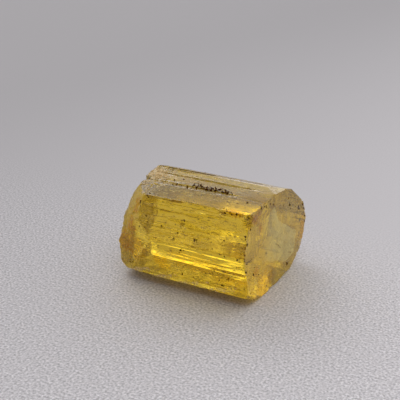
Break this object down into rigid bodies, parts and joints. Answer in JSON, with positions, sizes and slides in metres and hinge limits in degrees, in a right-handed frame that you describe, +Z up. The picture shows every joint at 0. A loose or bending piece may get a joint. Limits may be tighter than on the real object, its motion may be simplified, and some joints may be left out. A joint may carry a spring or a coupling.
{
  "type": "imperial topaz crystal",
  "caption": "Loose gem crystal of clear golden topaz: a short striated prism with a flat cleaved end and a rough broken end, lying on one face.",
  "frame": {"origin": "bottom centre of the crystal's bounding box, on the plane that its bottom prism face rests on", "axes": "+X along the crystal's long axis (the c axis of topaz) toward the flat cleaved end, +Y toward the back, +Z up from the face that it lies on"},
  "size_m": [0.0136, 0.0134, 0.009],
  "materials": {
    "golden_topaz": "clear golden yellow, satin and striated on the prism faces, rough and iron-stained on the broken end"
  },
  "bodies": {
    "root": {"topaz_crystal": "golden_topaz"}
  },
  "joints": []
}
